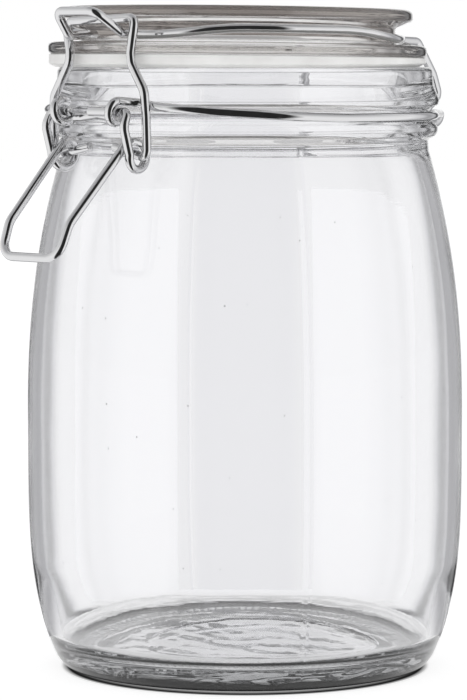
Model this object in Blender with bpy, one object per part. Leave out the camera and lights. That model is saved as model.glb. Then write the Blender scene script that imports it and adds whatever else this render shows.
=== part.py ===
"""Round clear-glass storage jar, about one litre, with a glass lid held by a wire clip.

Metres, +Z up, the clip at the front (-Y) and the hinge at the back (+Y). Sizes are given in
millimetres about the jar's own axis. The jar is empty and shut, as it stands on a shelf.
"""

import math

import bpy
from mathutils import Vector

MM = 0.001

# Body of the jar
BODY_R = 54.2
BODY_WIDEST_Z = 62.0
HEEL_DRAW = 8.3
HEEL_POWER = 3.9
SHOULDER_DRAW = 9.4
SHOULDER_POWER = 2.3
WALL = 3.2
HEEL_R = 45.9
FOOT_R = 44.0
FOOT_INNER_R = 36.0
BASE_RECESS = 1.8
BASE_THICK = 5.2
SHOULDER_R = 45.4
SHOULDER_Z = 131.2

# Neck and rim
NECK_IN_R = 40.6
GROOVE_R = 45.6
BEAD_R = 47.8
BEAD_Z = 133.9
RIM_R = 46.5
RIM_SKIRT_R = 48.2
RIM_TOP = 149.1

# Lid and its sealing ring
LID_SHIFT = 2.7
LID_FLANGE_R = 46.8
LID_FLANGE_LOW = 151.8
LID_FLANGE_TOP = 154.8
LID_GROOVE_R = 39.0
LID_DISC_R = 43.3
LID_DISC_LOW = 159.0
LID_TOP = 163.5
LID_PLUG_R = 38.4
LID_PLUG_LOW = 148.6
GASKET_R = 46.6
GASKET_IN_R = 38.8
FIT_GAP = 0.3

# The shut lid leans back a little: it is pressed down at the hinge and stands up at the front.
LID_LEAN = 0.0166
LID_SINK = 0.9

# Wire of the clip
WIRE_R = 1.1
LOOP_R = 2.55
EYE_R = 3.3

# Places of the clip, as (out from the axis, height)
COIL_OUT = 53.3
COIL_Z = 138.7
EYE_OUT = 49.7
EYE_Z = 128.4
HOOK_OUT = 57.8
HOOK_Z = 162.5
HOOK_ROOT_Z = 157.0
HOOK_LEG_NEAR = (7.9, 49.9, 157.2)
HOOK_LEG_FAR = (6.8, 53.4, 156.6)
RING_Z = 156.4
RING_LIFT = 1.75
BAIL_TOP_OUT = 49.3
BAIL_TOP_Z = 160.5
HINGE_OUT = 46.9
HINGE_Z = 137.2
HINGE_X = 21.0
TIP_OUT = 72.8
TIP_Z = 104.8

# Half widths of the clip's wires
COIL_X = 9.2
ARM_X = 13.4
HANDLE_X = 10.3
BAIL_LEG_X = 15.9
BAIL_LEAN = 0.4
HINGE_BAR_X = 23.4

# How finely round things are cut
TURNS = 48
WIRE_SIDES_STEP = 2
ARC_STEP = 30.0

# The frame's origin is under the middle of the whole outline, clip included.
AXIS_Y = (TIP_OUT + WIRE_R - BODY_R) / 2.0


def clear_scene():
    for old in list(bpy.data.objects):
        bpy.data.objects.remove(old, do_unlink=True)


def material(name, colour, roughness, metallic, transmission=0.0):
    made = bpy.data.materials.new(name)
    made.use_nodes = True
    shader = made.node_tree.nodes["Principled BSDF"]
    shader.inputs["Base Color"].default_value = (*colour, 1.0)
    shader.inputs["Roughness"].default_value = roughness
    shader.inputs["Metallic"].default_value = metallic
    shader.inputs["Transmission Weight"].default_value = transmission
    made.diffuse_color = (*colour, 1.0)
    return made


def empty_at(name, place, parent=None):
    """An empty on an axis, given in millimetres about the jar's axis."""
    made = bpy.data.objects.new(name, None)
    bpy.context.scene.collection.objects.link(made)
    made.parent = parent
    made.location = Vector(place) * MM
    return made


def polar(radius, angle):
    """A point out from the axis, with 0 degrees at the front and 90 at +X."""
    turn = math.radians(angle)
    return radius * math.sin(turn), -radius * math.cos(turn)


# Turned glass and rubber

def lid_rise(y):
    """How far the leaning lid stands above or below level, at y from the jar's axis."""
    return LID_LEAN * (HINGE_OUT - y) - LID_SINK


def turned(name, profile, finish, parent, centre=(0.0, 0.0, 0.0), lean_from=None):
    """Turns a closed profile of (radius, height) about a vertical axis. Profiles run with the
    solid on their left, and points on the axis become single vertices. Points higher than
    lean_from take the lid's lean."""
    verts = []
    rings = []
    for radius, height in profile:
        leans = lean_from is not None and height > lean_from
        if radius < 1e-6:
            rise = lid_rise(-LID_SHIFT) if leans else 0.0
            rings.append([len(verts)])
            verts.append((0.0, 0.0, (height + rise) * MM))
            continue
        ring = []
        for index in range(TURNS):
            x, y = polar(radius, 360.0 * index / TURNS)
            rise = lid_rise(y - LID_SHIFT) if leans else 0.0
            ring.append(len(verts))
            verts.append((x * MM, y * MM, (height + rise) * MM))
        rings.append(ring)
    closed = profile[0][0] > 1e-6 or profile[-1][0] > 1e-6
    pairs = list(zip(rings, rings[1:]))
    if closed:
        pairs.append((rings[-1], rings[0]))
    faces = []
    for low, high in pairs:
        for index in range(TURNS):
            after = (index + 1) % TURNS
            if len(low) == 1:
                faces.append((low[0], high[after], high[index]))
            elif len(high) == 1:
                faces.append((low[index], low[after], high[0]))
            else:
                faces.append((low[index], low[after], high[after], high[index]))
    mesh = bpy.data.meshes.new(name)
    mesh.from_pydata(verts, [], faces)
    mesh.materials.append(finish)
    mesh.shade_smooth()
    mesh.set_sharp_from_angle(angle=math.radians(35.0))
    made = bpy.data.objects.new(name, mesh)
    bpy.context.scene.collection.objects.link(made)
    made.parent = parent
    made.location = Vector(centre) * MM
    return made


def barrel_radius(height):
    """The barrel's outer radius: a long bulge that draws in towards heel and shoulder."""
    if height < BODY_WIDEST_Z:
        span = (BODY_WIDEST_Z - height) / BODY_WIDEST_Z
        return BODY_R - HEEL_DRAW * span ** HEEL_POWER
    span = (height - BODY_WIDEST_Z) / (SHOULDER_Z - BODY_WIDEST_Z)
    return BODY_R - SHOULDER_DRAW * span ** SHOULDER_POWER


def jar_profile():
    outside = [(0.0, BASE_RECESS), (FOOT_INNER_R - 8.0, BASE_RECESS * 0.9), (FOOT_INNER_R, 0.0)]
    outside += [(FOOT_R, 0.0), (HEEL_R, 0.8), (47.1, 2.75)]
    outside += [(barrel_radius(z), z) for z in (6.0, 12.0, 22.0, 36.0, 62.0, 82.0, 98.0, 110.0, 120.0, 127.0)]
    outside += [(SHOULDER_R, SHOULDER_Z), (BEAD_R - 0.7, BEAD_Z - 1.4), (BEAD_R, BEAD_Z)]
    outside += [(BEAD_R - 0.7, BEAD_Z + 1.4), (GROOVE_R, 136.0), (GROOVE_R, 139.0)]
    outside += [(RIM_SKIRT_R - 0.5, 139.9), (RIM_SKIRT_R, 140.9), (RIM_R + 0.2, 144.6), (RIM_R, RIM_TOP - 1.0)]
    outside += [(RIM_R - 1.0, RIM_TOP)]
    inside = [(NECK_IN_R + 1.2, RIM_TOP), (NECK_IN_R, RIM_TOP - 1.4), (NECK_IN_R, 133.0)]
    inside += [(42.2, 128.0)]
    inside += [(barrel_radius(z) - WALL, z) for z in (118.0, 104.0, 86.0, 62.0, 36.0, 22.0)]
    inside += [(46.0, 13.5), (43.0, 9.0), (38.0, 6.2), (31.0, BASE_THICK), (0.0, BASE_THICK + 0.8)]
    return outside + inside


def lid_profile():
    middle = (LID_FLANGE_LOW + LID_FLANGE_TOP) / 2.0
    profile = [(0.0, 157.2), (33.5, 156.6), (35.0, 155.0), (35.4, LID_PLUG_LOW), (37.6, LID_PLUG_LOW)]
    profile += [(LID_PLUG_R, LID_PLUG_LOW + 0.8), (LID_PLUG_R, LID_FLANGE_LOW)]
    profile += [(LID_FLANGE_R - 0.8, LID_FLANGE_LOW), (LID_FLANGE_R, middle - 0.5)]
    profile += [(LID_FLANGE_R, middle + 0.4), (LID_FLANGE_R - 1.0, LID_FLANGE_TOP)]
    profile += [(LID_GROOVE_R + 0.6, LID_FLANGE_TOP), (LID_GROOVE_R, LID_FLANGE_TOP + 0.6)]
    profile += [(LID_GROOVE_R, LID_DISC_LOW - 0.4), (LID_GROOVE_R + 0.4, LID_DISC_LOW + 0.1)]
    profile += [(LID_DISC_R - 2.0, LID_DISC_LOW + 0.9), (LID_DISC_R - 0.6, LID_DISC_LOW + 1.5)]
    profile += [(LID_DISC_R, LID_DISC_LOW + 2.3), (LID_DISC_R - 0.1, LID_TOP - 1.4)]
    profile += [(LID_DISC_R - 0.8, LID_TOP - 0.5), (LID_DISC_R - 1.9, LID_TOP)]
    profile += [(36.4, LID_TOP), (35.2, LID_TOP - 0.9), (0.0, LID_TOP - 0.7)]
    return profile


def gasket_profile():
    low = RIM_TOP + FIT_GAP
    high = LID_FLANGE_LOW - FIT_GAP
    return [(GASKET_IN_R, low), (GASKET_R - 1.6, low), (GASKET_R, low + 0.6),
            (GASKET_R, high - 0.6), (GASKET_R - 0.4, high), (GASKET_IN_R, high)]


# Wires of the clip

def rounded(corners, closed=False):
    """A path through corners given as (point, radius): every corner becomes an arc."""
    points = []
    count = len(corners)
    for index, (corner, radius) in enumerate(corners):
        here = Vector(corner)
        if radius == 0.0 or (not closed and index in (0, count - 1)):
            points.append(here)
            continue
        before = Vector(corners[index - 1][0])
        after = Vector(corners[(index + 1) % count][0])
        back = before - here
        ahead = after - here
        turn = math.pi - back.angle(ahead)
        if turn < math.radians(4.0):
            points.append(here)
            continue
        reach = radius * math.tan(turn / 2.0)
        reach = min(reach, 0.48 * back.length, 0.48 * ahead.length)
        real = reach / math.tan(turn / 2.0)
        middle = here + (back.normalized() + ahead.normalized()).normalized() * math.hypot(real, reach)
        start = here + back.normalized() * reach - middle
        end = here + ahead.normalized() * reach - middle
        steps = max(1, math.ceil(math.degrees(turn) / ARC_STEP))
        for step in range(steps + 1):
            share = step / steps
            spoke = start * math.sin((1.0 - share) * turn) + end * math.sin(share * turn)
            points.append(middle + spoke / math.sin(turn))
    return points


def loop_round(centre, radius, start, end, x_start, x_end):
    """A loop in the upright plane across the axis: 0 degrees is its top, 90 its outer side.
    The wire moves sideways from x_start to x_end on the way round."""
    steps = max(2, math.ceil(abs(end - start) / ARC_STEP))
    points = []
    for step in range(steps + 1):
        share = step / steps
        turn = math.radians(start + (end - start) * share)
        x = x_start + (x_end - x_start) * share
        out = centre[0] + radius * math.sin(turn)
        points.append(Vector((x, -out, centre[1] + radius * math.cos(turn))))
    return points


def mirrored(points):
    return [Vector((-point[0], point[1], point[2])) for point in reversed(points)]


def sharp(points):
    return [(point, 0.0) for point in points]


def wire(name, points, finish, parent, pivot=(0.0, 0.0, 0.0), closed=False):
    """A round wire along a path in millimetres about the jar's axis, with flat cut ends."""
    curve = bpy.data.curves.new(name, "CURVE")
    curve.dimensions = "3D"
    curve.bevel_depth = WIRE_R * MM
    curve.bevel_resolution = WIRE_SIDES_STEP
    curve.use_fill_caps = not closed
    curve.twist_mode = "MINIMUM"
    spline = curve.splines.new("POLY")
    spline.points.add(len(points) - 1)
    for slot, point in zip(spline.points, points):
        place = (Vector(point) - Vector(pivot)) * MM
        slot.co = (*place, 1.0)
    spline.use_cyclic_u = closed
    spline.use_smooth = True
    curve.materials.append(finish)
    made = bpy.data.objects.new(name, curve)
    bpy.context.scene.collection.objects.link(made)
    made.parent = parent
    return made


def neck_wire_path():
    """Closed ring in the neck's groove: a straight hinge bar at the back, the sides climbing
    forward out of the groove, a coil on each side of the front, and a run between the coils."""
    ring_r = GROOVE_R + 0.3 + WIRE_R
    side = []
    first, last = 20.0, 140.0
    steps = 13
    for step in range(steps + 1):
        angle = last + (first - last) * step / steps
        rise = max(0.0, (76.0 - angle) / 58.0)
        x, y = polar(ring_r + 2.8 * rise, angle)
        side.append(((x, y, HINGE_Z + 2.8 * rise ** 1.4), 0.0))
    bar = [((0.0, HINGE_OUT, HINGE_Z), 0.0), ((HINGE_BAR_X, HINGE_OUT, HINGE_Z), 2.4)]
    lead = [((COIL_X + 2.6, -49.4, 140.9), 3.0)]
    coil = loop_round((COIL_OUT, COIL_Z), LOOP_R, 0.0, 235.0, COIL_X + 0.8, COIL_X - 0.8)
    run = [((COIL_X - 3.6, -50.4, 137.2), 2.0), ((0.0, -50.0, 137.9), 0.0)]
    half = rounded(bar + side + lead + sharp(coil) + run)
    other = mirrored(half)[1:-1]
    return half + other


def ring_height(angle):
    """The lid ring's height at an angle from the front: level at hook and back, lifted between."""
    climb = min(1.0, max(0.0, (angle - 12.0) / 36.0))
    fall = min(1.0, max(0.0, (120.0 - angle) / 38.0))
    smooth = climb * climb * (3.0 - 2.0 * climb) * fall * fall * (3.0 - 2.0 * fall)
    return RING_Z + RING_LIFT * smooth


def lid_wire_half(foot):
    """One side of the lid's wire: an eye on the hinge bar, an arm over the lid's flange, the
    ring in the lid's groove, and at the front a raised hook for the bail. The hook's foot is
    (half width, out, height) where its leg turns up."""
    ring_r = LID_GROOVE_R + FIT_GAP + WIRE_R
    eye = loop_round((-HINGE_OUT, HINGE_Z), LOOP_R, 22.0, 270.0, HINGE_X, HINGE_X)
    arm = [((HINGE_X, 48.8, 141.8), 3.0), ((HINGE_X, 46.6, 147.2), 5.0), ((HINGE_X, 42.6, 152.6), 2.4)]
    arm += [((HINGE_X, 40.6, 155.4), 1.8), ((HINGE_X - 0.4, 33.0, 155.7), 4.0)]
    ring = []
    first, last = 137.0, 15.0
    steps = 12
    for step in range(steps + 1):
        angle = first + (last - first) * step / steps
        x, y = polar(ring_r, angle)
        y -= LID_SHIFT
        ring.append(((x, y, ring_height(angle) + lid_rise(y)), 0.0))
    half, out, height = foot
    leg = [((9.2, -45.6, HOOK_ROOT_Z), 2.0), ((half, -out, height), 2.2)]
    bar = [((6.5, -HOOK_OUT, HOOK_Z), 2.4), ((0.0, -HOOK_OUT, HOOK_Z), 0.0)]
    return rounded(sharp(list(reversed(eye))[:-1]) + sharp(eye[:1]) + arm + ring + leg + bar)


def lid_wire_path():
    """Open wire, the same on both sides but for the hook's two feet."""
    return lid_wire_half(HOOK_LEG_NEAR) + mirrored(lid_wire_half(HOOK_LEG_FAR))[1:]


def lever_half(stub_end):
    """One side of the lever: the stub through the coil, the arm, the eye that holds the bail,
    and the handle's side down to the middle of its tip."""
    stub = [((stub_end, -COIL_OUT, COIL_Z), 0.0), ((ARM_X - 0.3, -COIL_OUT, COIL_Z), 1.6)]
    arm = [((ARM_X, -COIL_OUT - 1.6, COIL_Z - 3.4), 3.0)]
    leave = 406.0
    eye = loop_round((EYE_OUT, EYE_Z), EYE_R, 84.0, leave, ARM_X, ARM_X - 2.5)
    side = [((HANDLE_X, -69.7, 112.7), 6.0), ((HANDLE_X - 0.4, -TIP_OUT, TIP_Z), 4.6)]
    return rounded(stub + arm + sharp(eye) + side + [((0.0, -TIP_OUT, TIP_Z), 0.0)])


def lever_path():
    near = lever_half(0.2)
    far = lever_half(6.6)
    return near + mirrored(far)[1:]


def bail_half(stub_end, waist, lean):
    """One side of the bail, from the stub in the lever's eye past the waist to the middle of
    its top run. The waist is (half width, height) where the leg is bent in, then where it ends."""
    foot = [((stub_end, -EYE_OUT, EYE_Z + 1.9), 0.0), ((BAIL_LEG_X, -EYE_OUT, EYE_Z - 0.6), 1.8)]
    foot += [((BAIL_LEG_X, -EYE_OUT - 0.3, 137.6), 4.0)]
    leg = [((half, -50.2, height), 4.0) for half, height in waist]
    top = [((11.2, -BAIL_TOP_OUT - 0.3, BAIL_TOP_Z - 3.4 + lean), 2.0)]
    top += [((11.4, -BAIL_TOP_OUT, BAIL_TOP_Z + lean), 2.6), ((0.0, -BAIL_TOP_OUT, BAIL_TOP_Z), 0.0)]
    return rounded(foot + leg + top)


def bail_path():
    near = bail_half(4.8, [(15.5, 143.6), (11.2, 150.0), (10.9, 152.6)], BAIL_LEAN)
    far = bail_half(3.4, [(15.4, 142.3), (10.1, 150.4), (9.8, 152.6)], -BAIL_LEAN)
    return near + mirrored(far)[1:]


def build():
    clear_scene()
    glass = material("clear_glass", (0.93, 0.95, 0.96), 0.03, 0.0, 1.0)
    rubber = material("pale_rubber", (0.86, 0.86, 0.84), 0.45, 0.0)
    steel = material("bright_steel_wire", (0.72, 0.72, 0.73), 0.18, 1.0)

    axis = empty_at("jar_axis", (0.0, AXIS_Y, 0.0))
    hinge = empty_at("hinge_axis", (0.0, HINGE_OUT, HINGE_Z), axis)
    lever_axis = empty_at("lever_axis", (0.0, -COIL_OUT, COIL_Z), axis)
    eye_place = (0.0, COIL_OUT - EYE_OUT, EYE_Z - COIL_Z)
    eye_axis = empty_at("bail_axis", eye_place, lever_axis)

    turned("jar_glass", jar_profile(), glass, axis)
    wire("neck_wire", neck_wire_path(), steel, axis, closed=True)
    lid_centre = (0.0, -LID_SHIFT - HINGE_OUT, -HINGE_Z)
    turned("lid_glass", lid_profile(), glass, hinge, lid_centre, lean_from=0.0)
    gasket_middle = (RIM_TOP + LID_FLANGE_LOW) / 2.0
    turned("gasket", gasket_profile(), rubber, hinge, lid_centre, lean_from=gasket_middle)
    wire("lid_wire", lid_wire_path(), steel, hinge, (0.0, HINGE_OUT, HINGE_Z))
    wire("lever", lever_path(), steel, lever_axis, (0.0, -COIL_OUT, COIL_Z))
    wire("bail", bail_path(), steel, eye_axis, (0.0, -EYE_OUT, EYE_Z))


build()
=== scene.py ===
"""A round clear-glass storage jar of about one litre, with a glass lid held by a wire clip.

The frame is in metres: +Z up, the clip at the front (-Y), the hinge at the back (+Y). Sizes here
are in millimetres about the jar's own axis. The jar is empty and shut.
"""

import math

import bpy
from mathutils import Matrix, Vector, noise

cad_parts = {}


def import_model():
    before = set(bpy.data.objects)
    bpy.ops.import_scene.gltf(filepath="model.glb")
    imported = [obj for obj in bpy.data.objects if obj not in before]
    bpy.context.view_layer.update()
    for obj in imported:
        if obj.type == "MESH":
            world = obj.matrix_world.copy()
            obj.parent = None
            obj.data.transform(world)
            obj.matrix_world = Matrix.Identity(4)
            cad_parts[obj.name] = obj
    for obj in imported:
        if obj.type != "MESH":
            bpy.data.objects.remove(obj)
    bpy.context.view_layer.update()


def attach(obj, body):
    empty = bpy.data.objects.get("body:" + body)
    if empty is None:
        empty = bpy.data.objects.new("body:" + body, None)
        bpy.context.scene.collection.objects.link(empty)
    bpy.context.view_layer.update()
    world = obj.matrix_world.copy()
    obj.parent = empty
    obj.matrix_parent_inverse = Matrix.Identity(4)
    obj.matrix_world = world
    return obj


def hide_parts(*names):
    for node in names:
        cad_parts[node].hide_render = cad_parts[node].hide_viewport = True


MM = 0.001
AXIS_Y = 9.85

# Body of the jar
BODY_R = 54.2
BODY_WIDEST_Z = 62.0
HEEL_DRAW = 8.3
HEEL_POWER = 3.9
SHOULDER_DRAW = 9.4
SHOULDER_POWER = 2.3
WALL = 3.2
FOOT_R = 45.4
FOOT_INNER_R = 36.0
RECESS_R = 29.0
BASE_RECESS = 1.8
BASE_TOP = 6.2
INNER_HEEL_R = 9.0
SHOULDER_R = 45.4
SHOULDER_Z = 131.2
BASE_MARK_R = 28.5
BASE_MARK_SHIFT = (6.6, -0.8)
BASE_MARK_HALF = 0.55
BASE_MARK_DEPTH = 0.3

# Painted shade on the foot's outer edge, in place of the dark gap under the jar seen in the glass: shades
# by height
PAINTED_FOOT_SHADE = ((0.0, "020202"), (0.21, "040404"), (0.26, "909090"), (0.31, "E8E8E8"), (0.38, "C4C4C4"),
              (0.45, "F2F2F2"), (0.53, "C8C8C8"), (0.6, "F6F6F6"), (0.8, "FAFAFB"))
FOOT_SHADE_HIGH = 12.0
FOOT_SHADE_R = 43.4

# Neck and rim
NECK_IN_R = 40.6
GROOVE_R = 45.6
BEAD_R = 47.8
BEAD_Z = 133.9
RIM_R = 46.5
RIM_SKIRT_R = 48.2
RIM_TOP = 149.1

# Lid and its sealing ring
LID_SHIFT = 2.7
LID_FLANGE_R = 46.8
LID_FLANGE_LOW = 151.8
LID_FLANGE_TOP = 154.8
LID_GROOVE_R = 39.0
LID_DISC_R = 43.3
LID_DISC_LOW = 159.0
LID_TOP = 163.48
LID_PLUG_R = 38.4
LID_PLUG_LOW = 148.6
GASKET_R = 46.6
GASKET_IN_R = 38.8
GASKET_LIFT = 0.04

# The shut lid leans back a little: it is pressed down at the hinge and stands up at the front.
LID_LEAN = 0.0166
LID_SINK = 0.9

# Wire of the clip
WIRE_R = 1.1
LOOP_R = 2.55
EYE_R = 3.3
COIL_OUT = 53.3
COIL_Z = 138.7
EYE_OUT = 49.7
EYE_Z = 128.4
HOOK_OUT = 57.8
HOOK_Z = 162.5
HOOK_ROOT_Z = 157.0
HOOK_LEG_NEAR = (7.9, 49.9, 157.2)
HOOK_LEG_FAR = (6.8, 53.4, 156.6)
RING_Z = 156.4
RING_LIFT = 1.75
BAIL_TOP_OUT = 49.3
BAIL_TOP_Z = 160.5
HINGE_OUT = 46.9
HINGE_Z = 137.2
HINGE_X = 21.0
TIP_OUT = 72.8
TIP_Z = 104.8
COIL_X = 9.2
ARM_X = 13.4
HANDLE_X = 10.3
BAIL_LEG_X = 15.9
BAIL_LEAN = 0.4
HINGE_BAR_X = 23.4
FIT_GAP = 0.3

# Small unevenness of the base, knurls under the foot, seeds in the glass
FLOOR_WAVE = 0.5
UNDERSIDE_WAVE = 0.35
SETTLED_R = 43.0
SETTLED_TOP = 14.0
SETTLED_FADE = 12.0
KNURL_COUNT = 132
KNURL_R = 40.6
KNURL_PROUD = 0.3
KNURL_WIDE = 1.0
KNURL_LONG = 5.0
KNURL_DEEP = 0.9
KNURL_Z = 0.46
SEED_DENSITY = 700.0
SEED_SMALLEST = 0.08
SEED_LARGEST = 0.22

# Grain of the finishes, and the painted shade streaks in the glass foot, in millimetres
GLASS_STREAK = 0.9
# Size of the painted dark streaks in the foot's shade, and how far they wander in height
PAINTED_STREAK_SIZE = 1.6
PAINTED_STREAK_WANDER = 0.8
RUBBER_MOTTLE = 9.0
RUBBER_GRAIN = 0.35
WIRE_DRAW_LINE = 0.22
WIRE_RUB = 2.6
PAPER_PULP = 2.0

# How finely round things are cut
TURNS = 240
WIRE_SIDES = 24
ARC_STEP = 8.0
SEAM_ANGLES = (60.4, 240.4)
SEAM_HALF = 0.35
SEAM_PROUD = 0.05

# Studio, in metres and degrees. Tones run along a card or out over the floor.
FLOOR_R = 4.0
FLOOR_Z = -0.0004
PAPER_GLOW = 0.84
CARD_STEPS = 48
# Painted contact shadow in the paper under the jar: its reach in millimetres, then its tones out from the
# axis
PAINTED_SHADOW_REACH = 60.0
PAINTED_CONTACT_SHADOW = ((0.0, "E0E0E0"), (0.64, "D8D8D8"), (0.69, "909090"), (0.72, "303030"), (0.74, "101010"),
                 (0.77, "FFFFFF"))
GLASS_BOUNCES = 28
WORLD_SHADE = ((0.2, "FFFFFF"), (0.9, "B4B4B6"))
SIDE_START = 33.0
SIDE_END = 87.0
SIDE_REACH = 0.10
SIDE_HIGH = 0.30
SIDE_TONES = ((0.093, "FFFFFF"), (0.13, "F2F2F2"), (0.167, "D8D8DA"), (0.204, "9C9C9E"), (0.241, "6A6A6B"),
              (0.278, "484849"), (0.315, "606062"), (0.36, "A8A8AA"), (0.426, "CCCCCE"), (0.5, "C0C0C2"),
              (0.574, "B0B0B2"), (0.648, "B4B4B6"), (0.778, "E0E0E2"), (1.0, "FFFFFF"))
BACK_HALF = 10.0
BACK_REACH = 0.12
BACK_TONES = ((0.0, "FFFFFF"), (0.1, "FFFFFF"), (0.17, "FBFBFC"), (0.83, "FBFBFC"), (0.9, "FFFFFF"),
              (1.0, "FFFFFF"))
FRONT_HALF = 35.0
FRONT_REACH = 0.2
FRONT_HIGH = 0.60
FRONT_TONES = ((0.0, "FFFFFF"), (0.1, "2A2A2A"), (0.9, "2A2A2A"), (1.0, "FFFFFF"))
SIDE_FOOT = 0.062
FRONT_FOOT = 0.058

# Where the photograph was taken from
VIEW_TURN = 44.0
VIEW_REACH = 912.5
VIEW_HEIGHT = 154.25
VIEW_PIXELS = 3670.0
IMAGE_WIDE = 467.0
IMAGE_HIGH = 700.0
AXIS_PIXEL = 245.0
EYE_PIXEL = 46.0


def polar(radius, angle):
    """A point out from the axis, with 0 degrees at the front and 90 at +X."""
    turn = math.radians(angle)
    return radius * math.sin(turn), -radius * math.cos(turn)


# Paths and outlines

def rounded(corners, closed=False):
    """A path through corners given as (point, radius): every corner becomes an arc."""
    points = []
    count = len(corners)
    for index, (corner, radius) in enumerate(corners):
        here = Vector(corner)
        if radius == 0.0 or (not closed and index in (0, count - 1)):
            points.append(here)
            continue
        before = Vector(corners[index - 1][0])
        after = Vector(corners[(index + 1) % count][0])
        back = before - here
        ahead = after - here
        turn = math.pi - back.angle(ahead)
        if turn < math.radians(2.0):
            points.append(here)
            continue
        reach = radius * math.tan(turn / 2.0)
        reach = min(reach, 0.48 * back.length, 0.48 * ahead.length)
        real = reach / math.tan(turn / 2.0)
        middle = here + (back.normalized() + ahead.normalized()).normalized() * math.hypot(real, reach)
        start = here + back.normalized() * reach - middle
        end = here + ahead.normalized() * reach - middle
        steps = max(2, math.ceil(math.degrees(turn) / ARC_STEP))
        for step in range(steps + 1):
            share = step / steps
            spoke = start * math.sin((1.0 - share) * turn) + end * math.sin(share * turn)
            points.append(middle + spoke / math.sin(turn))
    return points


def outline(corners):
    """A turned piece's outline from (radius, height, corner radius), as (radius, height)."""
    path = rounded([((radius, 0.0, height), corner) for radius, height, corner in corners])
    return [(point.x, point.z) for point in path]


def barrel_radius(height):
    """The barrel's outer radius: a long bulge that draws in towards heel and shoulder."""
    if height < BODY_WIDEST_Z:
        span = (BODY_WIDEST_Z - height) / BODY_WIDEST_Z
        return BODY_R - HEEL_DRAW * span ** HEEL_POWER
    span = (height - BODY_WIDEST_Z) / (SHOULDER_Z - BODY_WIDEST_Z)
    return BODY_R - SHOULDER_DRAW * span ** SHOULDER_POWER


def steps_between(start, end, step):
    count = max(1, round(abs(end - start) / step))
    return [start + (end - start) * index / count for index in range(count + 1)]


def jar_outline():
    """Outside from the middle of the base up to the rim, then down the inside."""
    corners = [(radius, BASE_RECESS, 0.0) for radius in steps_between(0.0, RECESS_R, 1.0)]
    corners += [(FOOT_INNER_R - 3.5, BASE_RECESS - 0.2, 6.0), (FOOT_INNER_R + 1.0, KNURL_PROUD, 3.0)]
    corners += [(FOOT_R, KNURL_PROUD, 3.2)]
    corners += [(barrel_radius(z), z, 0.0) for z in steps_between(3.4, 128.5, 2.5)]
    corners += [(SHOULDER_R, SHOULDER_Z, 1.0), (BEAD_R - 0.5, BEAD_Z - 1.7, 1.0)]
    corners += [(BEAD_R, BEAD_Z - 0.5, 0.8), (BEAD_R, BEAD_Z + 0.4, 0.8)]
    corners += [(BEAD_R - 0.6, BEAD_Z + 1.5, 0.8), (GROOVE_R, 136.0, 0.7)]
    corners += [(GROOVE_R, 139.0, 0.7), (RIM_SKIRT_R - 0.3, 139.8, 0.6), (RIM_SKIRT_R, 141.1, 1.0)]
    corners += [(RIM_R + 0.2, 144.6, 2.5), (RIM_R, RIM_TOP, 1.3), (NECK_IN_R, RIM_TOP, 1.3)]
    corners += [(NECK_IN_R, 133.0, 4.0), (42.2, 128.0, 6.0)]
    corners += [(barrel_radius(z) - WALL, z, 0.0) for z in steps_between(122.0, 24.0, 3.0)]
    corners += [(47.3, 14.0, 14.0), (45.4, BASE_TOP + 0.3, INNER_HEEL_R)]
    corners += [(radius, BASE_TOP, 0.0) for radius in steps_between(37.0, 20.0, 0.5)]
    corners += [(radius, BASE_TOP, 0.0) for radius in steps_between(19.0, 0.0, 1.0)]
    return outline(corners)


def wall_core():
    """A thin closed sleeve in the middle of the barrel's wall, where the seeds lie."""
    outer = [(barrel_radius(z) - WALL * 0.42, z) for z in steps_between(22.0, 120.0, 3.0)]
    inner = [(barrel_radius(z) - WALL * 0.5, z) for z in steps_between(120.0, 22.0, 3.0)]
    return outer + inner


def lid_outline():
    """From the middle of the hollow underside, round the plug, flange, groove and top disc."""
    corners = [(0.0, 157.2, 0.0), (33.0, 156.6, 1.5), (34.9, 155.2, 1.2), (35.4, LID_PLUG_LOW, 0.8)]
    corners += [(LID_PLUG_R - 0.2, LID_PLUG_LOW, 0.8), (LID_PLUG_R, LID_FLANGE_LOW, 0.4)]
    corners += [(LID_FLANGE_R, LID_FLANGE_LOW, 1.1), (LID_FLANGE_R, LID_FLANGE_TOP, 1.2)]
    corners += [(LID_GROOVE_R, LID_FLANGE_TOP, 0.9), (LID_GROOVE_R, LID_DISC_LOW, 0.7)]
    corners += [(LID_DISC_R, LID_DISC_LOW + 1.8, 1.0), (LID_DISC_R, LID_TOP, 1.9)]
    corners += [(37.0, LID_TOP, 1.0), (35.6, LID_TOP - 0.7, 1.0), (0.0, LID_TOP - 0.7, 0.0)]
    return outline(corners)


def gasket_outline():
    """The ring nearly fills the space between rim and flange; its outer edge tapers down."""
    low = RIM_TOP + GASKET_LIFT
    high = LID_FLANGE_LOW - GASKET_LIFT
    middle = (low + high) / 2.0
    corners = [(GASKET_IN_R, middle, 0.0), (GASKET_IN_R, low, 0.3), (42.6, low, 0.0)]
    corners += [(GASKET_R - 1.6, low, 0.5), (GASKET_R, low + 0.8, 0.5), (GASKET_R, high, 0.35)]
    corners += [(GASKET_IN_R, high, 0.3), (GASKET_IN_R, middle, 0.0)]
    return outline(corners)[:-1]


def lid_rise(y):
    """How far the leaning lid stands above or below level, at y from the jar's axis."""
    return LID_LEAN * (HINGE_OUT - y) - LID_SINK


# Mesh makers

def mesh_object(name, verts, faces, finish):
    mesh = bpy.data.meshes.new(name)
    mesh.from_pydata(verts, [], faces)
    mesh.materials.append(finish)
    mesh.shade_smooth()
    made = bpy.data.objects.new(name, mesh)
    bpy.context.scene.collection.objects.link(made)
    return made


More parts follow.
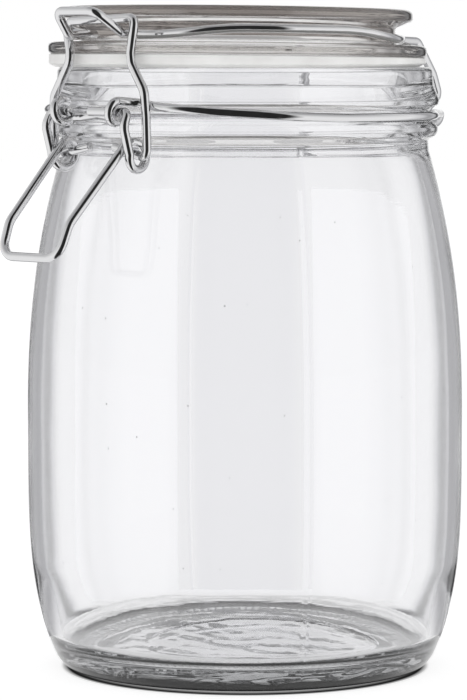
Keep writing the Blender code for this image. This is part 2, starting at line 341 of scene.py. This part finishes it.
def turned(name, profile, finish, shift=0.0, seams=(), ripple=None, lean_from=None):
    """Turns a closed outline about a vertical axis. Seams are thin lines that stand proud of
    the barrel, ripple moves a point by a small height, and points higher than lean_from take
    the lid's lean."""
    angles = [360.0 * index / TURNS for index in range(TURNS)]
    for seam in seams:
        angles = [angle for angle in angles if abs(angle - seam) > 0.8]
        angles += [seam - SEAM_HALF, seam - SEAM_HALF * 0.4, seam + SEAM_HALF * 0.4, seam + SEAM_HALF]
    angles.sort()
    count = len(angles)
    verts = []
    rings = []
    for radius, height in profile:
        on_axis = radius < 1e-6
        ring = []
        for angle in angles[:1] if on_axis else angles:
            out = radius
            on_barrel = 3.5 < height < SHOULDER_Z - 4.0 and radius > barrel_radius(height) - 0.5
            if on_barrel and any(abs(angle - seam) < SEAM_HALF * 0.6 for seam in seams):
                out = radius + SEAM_PROUD
            x, y = polar(out, angle)
            lift = ripple(x, y, height) if ripple else 0.0
            if lean_from is not None and height > lean_from:
                lift += lid_rise(y - shift)
            ring.append(len(verts))
            verts.append((x * MM, (y - shift + AXIS_Y) * MM, (height + lift) * MM))
        rings.append(ring)
    pairs = list(zip(rings, rings[1:]))
    if profile[0][0] > 1e-6 or profile[-1][0] > 1e-6:
        pairs.append((rings[-1], rings[0]))
    faces = []
    for low, high in pairs:
        for index in range(count):
            after = (index + 1) % count
            if len(low) == 1:
                faces.append((low[0], high[after], high[index]))
            elif len(high) == 1:
                faces.append((low[index], low[after], high[0]))
            else:
                faces.append((low[index], low[after], high[after], high[index]))
    return mesh_object(name, verts, faces, finish)


def wire(name, path, finish, closed=False):
    """A round wire swept along a path, with slightly broken edges at its flat cut ends. Its UV
    map runs round the wire in U and along it in V, both in metres."""
    points = [path[0]]
    for point in path[1:]:
        if (point - points[-1]).length > 0.02:
            points.append(point)
    if closed and (points[0] - points[-1]).length < 0.02:
        points.pop()
    count = len(points)
    tangents = []
    for index in range(count):
        if closed:
            step = points[(index + 1) % count] - points[index - 1]
        else:
            step = points[min(index + 1, count - 1)] - points[max(index - 1, 0)]
        tangents.append(step.normalized())
    normal = tangents[0].orthogonal().normalized()
    normals = [normal]
    for index in range(1, count):
        turn = tangents[index - 1].rotation_difference(tangents[index])
        normals.append((turn @ normals[-1]).normalized())
    if closed:
        turn = tangents[-1].rotation_difference(tangents[0])
        carried = turn @ normals[-1]
        twist = carried.angle(normals[0])
        if carried.cross(normals[0]).dot(tangents[0]) < 0.0:
            twist = -twist
        normals = [Matrix.Rotation(twist * index / count, 3, tangents[index]) @ value
                   for index, value in enumerate(normals)]
    sections = [(point, tangent, side, WIRE_R) for point, tangent, side in zip(points, tangents, normals)]
    if not closed:
        first, last = sections[0], sections[-1]
        sections.insert(0, (first[0] - first[1] * 0.02, first[1], first[2], WIRE_R * 0.84))
        sections[1] = (first[0] + first[1] * 0.1, first[1], first[2], WIRE_R)
        sections.append((last[0] + last[1] * 0.02, last[1], last[2], WIRE_R * 0.84))
        sections[-2] = (last[0] - last[1] * 0.1, last[1], last[2], WIRE_R)
    verts = []
    travel = []
    walked = 0.0
    for index, (point, tangent, side, radius) in enumerate(sections):
        if index:
            walked += (point - sections[index - 1][0]).length
        travel.append(walked * MM)
        across = tangent.cross(side)
        for slot in range(WIRE_SIDES):
            turn = math.tau * slot / WIRE_SIDES
            place = point + (side * math.cos(turn) + across * math.sin(turn)) * radius
            verts.append((place.x * MM, (place.y + AXIS_Y) * MM, place.z * MM))
    faces = []
    uvs = []
    rows = len(sections) if closed else len(sections) - 1
    girth = math.tau * WIRE_R * MM
    for row in range(rows):
        after = (row + 1) % len(sections)
        end = travel[after] if after else walked * MM
        for slot in range(WIRE_SIDES):
            beside = (slot + 1) % WIRE_SIDES
            faces.append((row * WIRE_SIDES + slot, row * WIRE_SIDES + beside,
                          after * WIRE_SIDES + beside, after * WIRE_SIDES + slot))
            left = girth * slot / WIRE_SIDES
            right = girth * (slot + 1) / WIRE_SIDES
            uvs += [(left, travel[row]), (right, travel[row]), (right, end), (left, end)]
    if not closed:
        last = (len(sections) - 1) * WIRE_SIDES
        faces.append(tuple(reversed(range(WIRE_SIDES))))
        faces.append(tuple(range(last, last + WIRE_SIDES)))
        uvs += [(0.0, 0.0)] * (2 * WIRE_SIDES)
    made = mesh_object(name, verts, faces, finish)
    layer = made.data.uv_layers.new(name="along_wire")
    layer.data.foreach_set("uv", [value for pair in uvs for value in pair])
    made.data.set_sharp_from_angle(angle=math.radians(50.0))
    return made


# The clip's wires

def loop_round(centre, radius, start, end, x_start, x_end):
    """A loop in the upright plane across the axis: 0 degrees is its top, 90 its outer side.
    The wire moves sideways from x_start to x_end on the way round."""
    steps = max(2, math.ceil(abs(end - start) / ARC_STEP))
    points = []
    for step in range(steps + 1):
        share = step / steps
        turn = math.radians(start + (end - start) * share)
        x = x_start + (x_end - x_start) * share
        out = centre[0] + radius * math.sin(turn)
        points.append(Vector((x, -out, centre[1] + radius * math.cos(turn))))
    return points


def mirrored(points):
    return [Vector((-point[0], point[1], point[2])) for point in reversed(points)]


def sharp(points):
    return [(point, 0.0) for point in points]


def neck_wire_path():
    """Closed ring in the neck's groove: a straight hinge bar at the back, the sides climbing
    forward out of the groove, a coil on each side of the front, and a run between the coils."""
    ring_r = GROOVE_R + FIT_GAP + WIRE_R
    side = []
    first, last = 20.0, 140.0
    steps = 60
    for step in range(steps + 1):
        angle = last + (first - last) * step / steps
        rise = max(0.0, (76.0 - angle) / 58.0)
        x, y = polar(ring_r + 2.8 * rise, angle)
        side.append(((x, y, HINGE_Z + 2.8 * rise ** 1.4), 0.0))
    bar = [((0.0, HINGE_OUT, HINGE_Z), 0.0), ((HINGE_BAR_X, HINGE_OUT, HINGE_Z), 2.4)]
    lead = [((COIL_X + 2.6, -49.4, 140.9), 3.0)]
    coil = loop_round((COIL_OUT, COIL_Z), LOOP_R, 0.0, 235.0, COIL_X + 0.8, COIL_X - 0.8)
    run = [((COIL_X - 3.6, -50.4, 137.2), 2.0), ((0.0, -50.0, 137.9), 0.0)]
    half = rounded(bar + side + lead + sharp(coil) + run)
    return half + mirrored(half)[1:-1]


def ring_height(angle):
    """The lid ring's height at an angle from the front: level at hook and back, lifted between."""
    climb = min(1.0, max(0.0, (angle - 12.0) / 36.0))
    fall = min(1.0, max(0.0, (120.0 - angle) / 38.0))
    smooth = climb * climb * (3.0 - 2.0 * climb) * fall * fall * (3.0 - 2.0 * fall)
    return RING_Z + RING_LIFT * smooth


def lid_wire_half(foot):
    """One side of the lid's wire: an eye on the hinge bar, an arm over the lid's flange, the
    ring in the lid's groove, and at the front a raised hook for the bail. The hook's foot is
    (half width, out, height) where its leg turns up."""
    ring_r = LID_GROOVE_R + FIT_GAP + WIRE_R
    eye = loop_round((-HINGE_OUT, HINGE_Z), LOOP_R, 22.0, 270.0, HINGE_X, HINGE_X)
    arm = [((HINGE_X, 48.8, 141.8), 3.0), ((HINGE_X, 46.6, 147.2), 5.0), ((HINGE_X, 42.6, 152.6), 2.4)]
    arm += [((HINGE_X, 40.6, 155.4), 1.8), ((HINGE_X - 0.4, 33.0, 155.7), 4.0)]
    ring = []
    first, last = 137.0, 15.0
    steps = 60
    for step in range(steps + 1):
        angle = first + (last - first) * step / steps
        x, y = polar(ring_r, angle)
        y -= LID_SHIFT
        ring.append(((x, y, ring_height(angle) + lid_rise(y)), 0.0))
    half, out, height = foot
    leg = [((9.2, -45.6, HOOK_ROOT_Z), 2.0), ((half, -out, height), 2.2)]
    bar = [((6.5, -HOOK_OUT, HOOK_Z), 2.4), ((0.0, -HOOK_OUT, HOOK_Z), 0.0)]
    return rounded(sharp(list(reversed(eye))[:-1]) + sharp(eye[:1]) + arm + ring + leg + bar)


def lid_wire_path():
    """Open wire, the same on both sides but for the hook's two feet."""
    return lid_wire_half(HOOK_LEG_NEAR) + mirrored(lid_wire_half(HOOK_LEG_FAR))[1:]


def lever_half(stub_end):
    """One side of the lever: the stub through the coil, the arm, the eye that holds the bail,
    and the handle's side down to the middle of its tip."""
    stub = [((stub_end, -COIL_OUT, COIL_Z), 0.0), ((ARM_X - 0.3, -COIL_OUT, COIL_Z), 1.6)]
    arm = [((ARM_X, -COIL_OUT - 1.6, COIL_Z - 3.4), 3.0)]
    eye = loop_round((EYE_OUT, EYE_Z), EYE_R, 84.0, 406.0, ARM_X, ARM_X - 2.5)
    side = [((HANDLE_X, -69.7, 112.7), 6.0), ((HANDLE_X - 0.5, -TIP_OUT, TIP_Z), 6.4)]
    return rounded(stub + arm + sharp(eye) + side + [((0.0, -TIP_OUT, TIP_Z), 0.0)])


def lever_path():
    return lever_half(0.2) + mirrored(lever_half(6.6))[1:]


def bail_half(stub_end, waist, lean):
    """One side of the bail, from the stub in the lever's eye past the waist to the middle of
    its top run. The waist is (half width, height) where the leg is bent in, then where it ends."""
    foot = [((stub_end, -EYE_OUT, EYE_Z + 1.9), 0.0), ((BAIL_LEG_X, -EYE_OUT, EYE_Z - 0.6), 1.8)]
    foot += [((BAIL_LEG_X, -EYE_OUT - 0.3, 137.6), 4.0)]
    leg = [((half, -50.2, height), 4.0) for half, height in waist]
    top = [((11.2, -BAIL_TOP_OUT - 0.3, BAIL_TOP_Z - 3.4 + lean), 2.0)]
    top += [((11.4, -BAIL_TOP_OUT, BAIL_TOP_Z + lean), 2.6), ((0.0, -BAIL_TOP_OUT, BAIL_TOP_Z), 0.0)]
    return rounded(foot + leg + top)


def bail_path():
    near = bail_half(4.8, [(15.5, 143.6), (11.2, 150.0), (10.9, 152.6)], BAIL_LEAN)
    far = bail_half(3.4, [(15.4, 142.3), (10.1, 150.4), (9.8, 152.6)], -BAIL_LEAN)
    return near + mirrored(far)[1:]


# Materials

def linear(code):
    """An sRGB hex colour as linear RGBA."""
    values = []
    for start in (0, 2, 4):
        share = int(code[start:start + 2], 16) / 255.0
        values.append(share / 12.92 if share <= 0.04045 else ((share + 0.055) / 1.055) ** 2.4)
    return (*values, 1.0)


def add(tree, kind, sockets=None, **settings):
    """Adds a node with its settings. A socket given another node's output is linked to it."""
    node = tree.nodes.new(kind)
    for key, value in settings.items():
        setattr(node, key, value)
    for key, value in (sockets or {}).items():
        if isinstance(value, bpy.types.NodeSocket):
            tree.links.new(value, node.inputs[key])
        else:
            node.inputs[key].default_value = value
    return node


def new_material(name):
    made = bpy.data.materials.new(name)
    made.use_nodes = True
    made.node_tree.nodes.clear()
    return made, made.node_tree


def close_material(tree, shader, inside=None):
    sockets = {"Surface": shader.outputs[0]}
    if inside:
        sockets["Volume"] = inside.outputs[0]
    add(tree, "ShaderNodeOutputMaterial", sockets)


def pressed_glass(name, tint, inner_tint, density, wave_mm, wave_depth_mm, streak_depth_mm,
                  painted_foot_shade=None):
    """Soda-lime glass, blown or pressed in a mould. It is clear and colourless, with slow waves
    in its surface that bend what is seen through it, and faint level streaks from the mould. Light
    that runs a long way through the glass comes out grey. A painted foot shade darkens the lowest
    millimetres, with painted dark streaks, in place of the dark gap under the jar seen through the glass."""
    made, tree = new_material(name)
    place = add(tree, "ShaderNodeTexCoord")
    centred = add(tree, "ShaderNodeMapping", {
        "Vector": place.outputs["Object"], "Location": (0.0, -AXIS_Y * MM, 0.0)})
    waves = add(tree, "ShaderNodeTexNoise", {
        "Vector": centred.outputs[0], "Scale": 1.0 / (wave_mm * MM), "Detail": 1.0})
    level = add(tree, "ShaderNodeMapping", {"Vector": centred.outputs[0], "Scale": (0.06, 0.06, 1.0)})
    streaks = add(tree, "ShaderNodeTexNoise", {
        "Vector": level.outputs[0], "Scale": 1.0 / (GLASS_STREAK * MM), "Detail": 2.0})
    first = add(tree, "ShaderNodeBump", {
        "Height": waves.outputs[0], "Strength": 1.0, "Distance": wave_depth_mm * MM})
    second = add(tree, "ShaderNodeBump", {
        "Height": streaks.outputs[0], "Strength": 1.0, "Distance": streak_depth_mm * MM,
        "Normal": first.outputs[0]})
    shader = add(tree, "ShaderNodeBsdfPrincipled", {
        "Base Color": linear(tint), "Metallic": 0.0, "Roughness": 0.0, "IOR": 1.52,
        "Transmission Weight": 1.0, "Normal": second.outputs[0]})
    # Painted shade: the foot's base colour is darkened by height, in place of the dark gap under the jar
    if painted_foot_shade:
        tree.links.new(paint_shade_at_foot(tree, centred, painted_foot_shade), shader.inputs["Base Color"])
    depth = add(tree, "ShaderNodeVolumeAbsorption", {"Color": linear(inner_tint), "Density": density})
    close_material(tree, shader, depth)
    return made


def paint_shade_at_foot(tree, centred, painted_foot_shade):
    """Painted shade by height above the table, with level painted dark streaks. The underside,
    nearer to the axis than the foot's outer edge, keeps the clear colour."""
    parts = add(tree, "ShaderNodeSeparateXYZ", {"Vector": centred.outputs[0]})
    flat = add(tree, "ShaderNodeMapping", {"Vector": centred.outputs[0], "Scale": (0.12, 0.12, 1.0)})
    # Painted dark streaks: the foot's painted shade wanders a little in height
    uneven = add(tree, "ShaderNodeTexNoise", {
        "Vector": flat.outputs[0], "Scale": 1.0 / (PAINTED_STREAK_SIZE * MM), "Detail": 2.0})
    shift = add(tree, "ShaderNodeMapRange", {
        "Value": uneven.outputs[0], "From Min": 0.3, "From Max": 0.7,
        "To Min": -PAINTED_STREAK_WANDER * MM, "To Max": PAINTED_STREAK_WANDER * MM})
    low = add(tree, "ShaderNodeMath", {0: parts.outputs["Z"], 1: shift.outputs[0]}, operation="ADD")
    across = add(tree, "ShaderNodeCombineXYZ", {"X": parts.outputs["X"], "Y": parts.outputs["Y"]})
    out = add(tree, "ShaderNodeVectorMath", {"Vector": across.outputs[0]}, operation="LENGTH")
    under = add(tree, "ShaderNodeMapRange", {
        "Value": out.outputs["Value"], "From Min": FOOT_SHADE_R * MM,
        "From Max": (FOOT_SHADE_R - 0.8) * MM, "To Max": FOOT_SHADE_HIGH * MM})
    level = add(tree, "ShaderNodeMath", {0: low.outputs[0], 1: under.outputs[0]}, operation="ADD")
    share = add(tree, "ShaderNodeMapRange", {
        "Value": level.outputs[0], "From Max": FOOT_SHADE_HIGH * MM})
    shade = add(tree, "ShaderNodeValToRGB", {"Fac": share.outputs[0]})
    grade(shade, painted_foot_shade)
    return shade.outputs[0]


def translucent_rubber():
    """Moulded silicone-like rubber: milky, lets light in, satin, with a faint level grain. It
    gives off a little light, in place of the light that wanders through it from all round."""
    made, tree = new_material("moulded_translucent_rubber")
    place = add(tree, "ShaderNodeTexCoord")
    mottle = add(tree, "ShaderNodeTexNoise", {
        "Vector": place.outputs["Object"], "Scale": 1.0 / (RUBBER_MOTTLE * MM), "Detail": 3.0})
    colour = add(tree, "ShaderNodeValToRGB", {"Fac": mottle.outputs[0]})
    grade(colour, ((0.3, "E2E1DF"), (0.7, "F4F4F2")))
    level = add(tree, "ShaderNodeMapping", {"Vector": place.outputs["Object"], "Scale": (0.1, 0.1, 1.0)})
    grain = add(tree, "ShaderNodeTexNoise", {
        "Vector": level.outputs[0], "Scale": 1.0 / (RUBBER_GRAIN * MM), "Detail": 2.0})
    bump = add(tree, "ShaderNodeBump", {
        "Height": grain.outputs[0], "Strength": 0.6, "Distance": 0.03 * MM})
    shader = add(tree, "ShaderNodeBsdfPrincipled", {
        "Base Color": colour.outputs[0], "Metallic": 0.0, "Roughness": 0.38, "IOR": 1.43,
        "Transmission Weight": 0.1, "Subsurface Weight": 0.3, "Subsurface Radius": (0.004, 0.004, 0.004),
        "Subsurface Scale": 1.0, "Emission Color": linear("FFFFFF"), "Emission Strength": 0.06,
        "Normal": bump.outputs[0]})
    close_material(tree, shader)
    return made


def drawn_steel():
    """Stainless spring wire, drawn bright: a near mirror with fine lines along its length and a
    few duller rubs from the bending tools."""
    made, tree = new_material("bright_drawn_steel_wire")
    along = add(tree, "ShaderNodeUVMap", uv_map="along_wire")
    lines = add(tree, "ShaderNodeMapping", {"Vector": along.outputs[0], "Scale": (1.0, 0.03, 1.0)})
    drawn = add(tree, "ShaderNodeTexNoise", {
        "Vector": lines.outputs[0], "Scale": 1.0 / (WIRE_DRAW_LINE * MM), "Detail": 2.0})
    place = add(tree, "ShaderNodeTexCoord")
    rubs = add(tree, "ShaderNodeTexNoise", {
        "Vector": place.outputs["Object"], "Scale": 1.0 / (WIRE_RUB * MM), "Detail": 3.0})
    rough = add(tree, "ShaderNodeMapRange", {
        "Value": rubs.outputs[0], "From Min": 0.35, "From Max": 0.75, "To Min": 0.05, "To Max": 0.14})
    bump = add(tree, "ShaderNodeBump", {
        "Height": drawn.outputs[0], "Strength": 0.5, "Distance": 0.012 * MM})
    shader = add(tree, "ShaderNodeBsdfPrincipled", {
        "Base Color": linear("DADADB"), "Metallic": 1.0, "Roughness": rough.outputs[0],
        "Normal": bump.outputs[0]})
    close_material(tree, shader)
    return made


# What repeats

def group_with(name, numbers, tool):
    """A Geometry Nodes tree with a geometry in and out and one named input for each size."""
    tree = bpy.data.node_groups.new(name, "GeometryNodeTree")
    tree.interface.new_socket("Geometry", in_out="INPUT", socket_type="NodeSocketGeometry")
    for key, (kind, value) in numbers.items():
        made = tree.interface.new_socket(key, in_out="INPUT", socket_type=kind)
        made.default_value = value
    tree.interface.new_socket("Geometry", in_out="OUTPUT", socket_type="NodeSocketGeometry")
    source = add(tree, "NodeGroupInput")
    ready = tool(tree, source)
    add(tree, "NodeGroupOutput", {"Geometry": ready})
    return tree


def run_nodes(name, base, tree, values):
    """Runs a tree on an object and returns the result as a plain mesh object."""
    modifier = base.modifiers.new("nodes", "NODES")
    modifier.node_group = tree
    for item in tree.interface.items_tree:
        if item.item_type == "SOCKET" and item.in_out == "INPUT" and item.name in values:
            modifier[item.identifier] = values[item.name]
    shown = base.evaluated_get(bpy.context.evaluated_depsgraph_get())
    mesh = bpy.data.meshes.new_from_object(shown)
    mesh.name = name
    base.modifiers.remove(modifier)
    bpy.data.objects.remove(base, do_unlink=True)
    made = bpy.data.objects.new(name, mesh)
    bpy.context.scene.collection.objects.link(made)
    return made


def knurl_tree(glass):
    """Short bars that stand out from the foot all the way round."""
    def tool(tree, source):
        ring = add(tree, "GeometryNodeCurvePrimitiveCircle", {
            "Resolution": source.outputs["Count"], "Radius": source.outputs["Radius"]})
        points = add(tree, "GeometryNodeCurveToPoints", {
            "Curve": ring.outputs[0], "Count": source.outputs["Count"]}, mode="COUNT")
        bar = add(tree, "GeometryNodeMeshUVSphere", {"Segments": 10, "Rings": 6, "Radius": 0.5 * MM})
        stretch = add(tree, "ShaderNodeCombineXYZ", {
            "X": source.outputs["Length"], "Y": source.outputs["Depth"], "Z": source.outputs["Width"]})
        placed = add(tree, "GeometryNodeInstanceOnPoints", {
            "Points": points.outputs["Points"], "Instance": bar.outputs["Mesh"],
            "Rotation": points.outputs["Rotation"], "Scale": stretch.outputs[0]})
        move = add(tree, "GeometryNodeTransform", {
            "Geometry": placed.outputs[0], "Translation": source.outputs["Place"]})
        real = add(tree, "GeometryNodeRealizeInstances", {"Geometry": move.outputs[0]})
        done = add(tree, "GeometryNodeSetMaterial", {"Geometry": real.outputs[0], "Material": glass})
        return done.outputs[0]
    numbers = {"Count": ("NodeSocketInt", 132), "Radius": ("NodeSocketFloat", 0.04),
               "Width": ("NodeSocketFloat", 1.0), "Length": ("NodeSocketFloat", 3.0),
               "Depth": ("NodeSocketFloat", 0.5), "Place": ("NodeSocketVector", (0.0, 0.0, 0.0))}
    return group_with("knurl_round_foot", numbers, tool)


def seeds_tree(glass):
    """Tiny bubbles left in the melt, scattered through the middle of the wall."""
    def tool(tree, source):
        spread = add(tree, "GeometryNodeDistributePointsOnFaces", {
            "Mesh": source.outputs["Geometry"], "Density": source.outputs["Density"],
            "Seed": source.outputs["Seed"]})
        size = add(tree, "FunctionNodeRandomValue", {
            "Min": source.outputs["Smallest"], "Max": source.outputs["Largest"],
            "Seed": source.outputs["Seed"]}, data_type="FLOAT")
        seed = add(tree, "GeometryNodeMeshUVSphere", {"Segments": 10, "Rings": 7, "Radius": 1.0})
        placed = add(tree, "GeometryNodeInstanceOnPoints", {
            "Points": spread.outputs["Points"], "Instance": seed.outputs["Mesh"], "Scale": size.outputs[1]})
        real = add(tree, "GeometryNodeRealizeInstances", {"Geometry": placed.outputs[0]})
        done = add(tree, "GeometryNodeSetMaterial", {"Geometry": real.outputs[0], "Material": glass})
        return done.outputs[0]
    numbers = {"Density": ("NodeSocketFloat", 900.0), "Smallest": ("NodeSocketFloat", 0.0001),
               "Largest": ("NodeSocketFloat", 0.0003), "Seed": ("NodeSocketInt", 7)}
    return group_with("seeds_in_wall", numbers, tool)


# Studio

def floor(finish):
    """A wide level sheet under the jar."""
    verts = []
    for turn in range(0, 360, 10):
        x, y = polar(FLOOR_R, turn)
        verts.append((x, y + AXIS_Y * MM, FLOOR_Z))
    return mesh_object("floor", verts, [tuple(range(len(verts)))], finish)


def studio_paper():
    """White seamless paper, lit evenly from below like a light table. Under the jar a painted
    contact shadow dims its glow and colour, in place of the light the glass keeps off, darkest in a ring
    under the foot."""
    made, tree = new_material("white_seamless_paper")
    place = add(tree, "ShaderNodeTexCoord")
    pulp = add(tree, "ShaderNodeTexNoise", {
        "Vector": place.outputs["Object"], "Scale": 1.0 / (PAPER_PULP * MM), "Detail": 2.0})
    bump = add(tree, "ShaderNodeBump", {
        "Height": pulp.outputs[0], "Strength": 0.2, "Distance": 0.02 * MM})
    # Painted contact shadow: the paper's glow and colour darken by distance from the jar's axis
    centred = add(tree, "ShaderNodeMapping", {
        "Vector": place.outputs["Object"], "Location": (0.0, -AXIS_Y * MM, 0.0)})
    out = add(tree, "ShaderNodeVectorMath", {"Vector": centred.outputs[0]}, operation="LENGTH")
    share = add(tree, "ShaderNodeMapRange", {
        "Value": out.outputs["Value"], "From Max": PAINTED_SHADOW_REACH * MM})
    shade = add(tree, "ShaderNodeValToRGB", {"Fac": share.outputs[0]})
    grade(shade, PAINTED_CONTACT_SHADOW)
    paper = add(tree, "ShaderNodeMix", {"Factor": 1.0, "A": linear("A0A0A0"), "B": shade.outputs[0]},
                data_type="RGBA", blend_type="MULTIPLY")
    shader = add(tree, "ShaderNodeBsdfPrincipled", {
        "Base Color": paper.outputs["Result"], "Metallic": 0.0, "Roughness": 0.9, "IOR": 1.45,
        "Specular IOR Level": 0.0, "Emission Color": shade.outputs[0], "Emission Strength": PAPER_GLOW,
        "Normal": bump.outputs[0]})
    close_material(tree, shader)
    return made


def grade(ramp, stops):
    """Sets a colour ramp's stops from (place, sRGB hex) pairs."""
    elements = ramp.color_ramp.elements
    while len(elements) > 1:
        elements.remove(elements[-1])
    for index, (place, code) in enumerate(stops):
        element = elements[0] if index == 0 else elements.new(place)
        element.position = place
        element.color = linear(code)


def toned_board(name, stops):
    """Matt board that gives off its own even light. Its tone runs along the card by the stops."""
    finish, tree = new_material(name + "_board")
    along = add(tree, "ShaderNodeUVMap", uv_map="along_card")
    parts = add(tree, "ShaderNodeSeparateXYZ", {"Vector": along.outputs[0]})
    tone = add(tree, "ShaderNodeValToRGB", {"Fac": parts.outputs["X"]})
    grade(tone, stops)
    close_material(tree, add(tree, "ShaderNodeEmission", {"Color": tone.outputs[0]}))
    return finish


def bent_card(name, start, end, bend, stops, through_glass=True):
    """A studio card round the jar, from one turn to another in degrees from the camera's side.
    Its section runs through (reach, height) points in metres and its tone along the curve. Only
    glass and metal see it, and one that isn't seen through the glass shows in reflections alone."""
    verts = []
    faces = []
    uvs = []
    deep = len(bend)
    for step in range(CARD_STEPS + 1):
        share = step / CARD_STEPS
        for reach, height in bend:
            x, y = polar(reach, VIEW_TURN + start + (end - start) * share)
            verts.append((x, y + AXIS_Y * MM, height))
        for corner in range(deep - 1):
            if step == CARD_STEPS:
                break
            here = step * deep + corner
            faces.append((here, here + deep, here + deep + 1, here + 1))
            uvs += [share, 0.5, share + 1.0 / CARD_STEPS, 0.5, share + 1.0 / CARD_STEPS, 0.5, share, 0.5]
    made = mesh_object(name, verts, faces, toned_board(name, stops))
    made.data.uv_layers.new(name="along_card").data.foreach_set("uv", uvs)
    made.visible_camera = False
    made.visible_diffuse = False
    made.visible_shadow = False
    made.visible_transmission = through_glass


def world_light():
    """A white studio all round, a little darker overhead."""
    world = bpy.data.worlds.new("studio")
    bpy.context.scene.world = world
    world.use_nodes = True
    tree = world.node_tree
    tree.nodes.clear()
    place = add(tree, "ShaderNodeTexCoord")
    parts = add(tree, "ShaderNodeSeparateXYZ", {"Vector": place.outputs["Generated"]})
    shade = add(tree, "ShaderNodeValToRGB", {"Fac": parts.outputs["Z"]})
    grade(shade, WORLD_SHADE)
    back = add(tree, "ShaderNodeBackground", {"Color": shade.outputs[0], "Strength": 1.0})
    add(tree, "ShaderNodeOutputWorld", {"Surface": back.outputs[0]})
    bpy.context.scene.view_settings.view_transform = "Standard"
    light_paths = bpy.context.scene.cycles
    light_paths.max_bounces = GLASS_BOUNCES
    light_paths.transmission_bounces = GLASS_BOUNCES
    light_paths.glossy_bounces = GLASS_BOUNCES


def camera():
    """A long lens a little above the lid's height, tipped down at the middle of the jar."""
    lens = bpy.data.cameras.new("camera")
    lens.sensor_fit = "VERTICAL"
    lens.sensor_height = 36.0
    lens.lens = VIEW_PIXELS / IMAGE_HIGH * lens.sensor_height
    lens.clip_start = 0.05
    lens.clip_end = 20.0
    made = bpy.data.objects.new("camera", lens)
    bpy.context.scene.collection.objects.link(made)
    angle = math.radians(VIEW_TURN)
    made.location = (math.sin(angle) * VIEW_REACH * MM, (-math.cos(angle) * VIEW_REACH + AXIS_Y) * MM,
                     VIEW_HEIGHT * MM)
    pan = math.atan((AXIS_PIXEL - IMAGE_WIDE / 2.0) / VIEW_PIXELS)
    tilt = math.atan((IMAGE_HIGH / 2.0 - EYE_PIXEL) / VIEW_PIXELS)
    made.rotation_euler = (math.pi / 2.0 - tilt, 0.0, angle + pan)
    bpy.context.scene.camera = made


def settled_base(x, y, height):
    """How far the base's two faces stand off level: the inner face has a round mark a little
    off centre, and both faces settled unevenly while the glass was soft."""
    out = math.hypot(x, y)
    if out > SETTLED_R or height > SETTLED_TOP:
        return 0.0
    fade = min(1.0, (SETTLED_R - out) / SETTLED_FADE)
    if height > BASE_RECESS + 1.0:
        broad = noise.noise(Vector((x / 19.0, y / 13.0, 0.3)))
        fine = noise.noise(Vector((x / 7.0, y / 4.0, 5.1)))
        off = math.hypot(x - BASE_MARK_SHIFT[0], y - BASE_MARK_SHIFT[1]) - BASE_MARK_R
        groove = math.exp(-(off / BASE_MARK_HALF) ** 2)
        return fade * (FLOOR_WAVE * broad + 0.25 * FLOOR_WAVE * fine) - BASE_MARK_DEPTH * groove
    if height < BASE_RECESS - 0.3:
        return 0.0
    inside = noise.noise(Vector((x / 9.0, y / 5.0, 2.7)))
    edge = min(1.0, max(0.0, (RECESS_R - out) / 3.0))
    return edge * UNDERSIDE_WAVE * inside


def main():
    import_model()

    glass = pressed_glass("blown_soda_lime_glass", tint="FAFAFB", inner_tint="BDBEC0", density=14.0,
                          wave_mm=22.0, wave_depth_mm=0.06, streak_depth_mm=0.003, painted_foot_shade=PAINTED_FOOT_SHADE)
    lid_glass = pressed_glass("pressed_soda_lime_glass", tint="FAFAF9", inner_tint="B8B1AD", density=30.0,
                              wave_mm=9.0, wave_depth_mm=0.02, streak_depth_mm=0.020)
    rubber = translucent_rubber()
    steel = drawn_steel()

    jar = turned("jar_wall", jar_outline(), glass, seams=SEAM_ANGLES, ripple=settled_base)
    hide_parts("jar_glass")
    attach(jar, "jar")

    lid = turned("lid_glass_piece", lid_outline(), lid_glass, shift=LID_SHIFT, lean_from=0.0)
    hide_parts("lid_glass")
    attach(lid, "lid")

    seal_middle = (RIM_TOP + LID_FLANGE_LOW) / 2.0
    seal = turned("sealing_ring", gasket_outline(), rubber, shift=LID_SHIFT, lean_from=seal_middle)
    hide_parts("gasket")
    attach(seal, "lid")

    knurls = bpy.data.objects.new("knurl_path", bpy.data.meshes.new("knurl_path"))
    bpy.context.scene.collection.objects.link(knurls)
    knurls = run_nodes("foot_knurls", knurls, knurl_tree(glass), {
        "Count": KNURL_COUNT, "Radius": KNURL_R * MM, "Width": KNURL_WIDE, "Length": KNURL_LONG,
        "Depth": KNURL_DEEP, "Place": (0.0, AXIS_Y * MM, KNURL_Z * MM)})
    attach(knurls, "jar")

    core = turned("wall_core", wall_core(), glass)
    seeds = run_nodes("seeds", core, seeds_tree(glass), {
        "Density": SEED_DENSITY, "Smallest": SEED_SMALLEST * MM, "Largest": SEED_LARGEST * MM, "Seed": 7})
    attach(seeds, "jar")

    wires = [("neck_wire_round", "neck_wire", neck_wire_path(), "jar", True),
             ("lid_wire_round", "lid_wire", lid_wire_path(), "lid", False),
             ("lever_round", "lever", lever_path(), "lever", False),
             ("bail_round", "bail", bail_path(), "bail", False)]
    for name, node, path, body, closed in wires:
        made = wire(name, path, steel, closed)
        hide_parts(node)
        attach(made, body)

    floor(studio_paper())
    side = [(SIDE_FOOT, 0.0), (SIDE_REACH, 0.0), (SIDE_REACH, SIDE_HIGH)]
    back = [(BACK_REACH, 0.0), (BACK_REACH, SIDE_HIGH)]
    front = [(FRONT_FOOT, 0.0), (FRONT_REACH, 0.0), (FRONT_REACH, FRONT_HIGH)]
    bent_card("side_card_right", 180.0 - SIDE_START, 180.0 - SIDE_END, side, SIDE_TONES)
    bent_card("side_card_left", 180.0 + SIDE_START, 180.0 + SIDE_END, side, SIDE_TONES)
    bent_card("back_card", 180.0 - BACK_HALF, 180.0 + BACK_HALF, back, BACK_TONES)
    bent_card("front_card", -FRONT_HALF, FRONT_HALF, front, FRONT_TONES, through_glass=False)
    world_light()
    camera()


main()
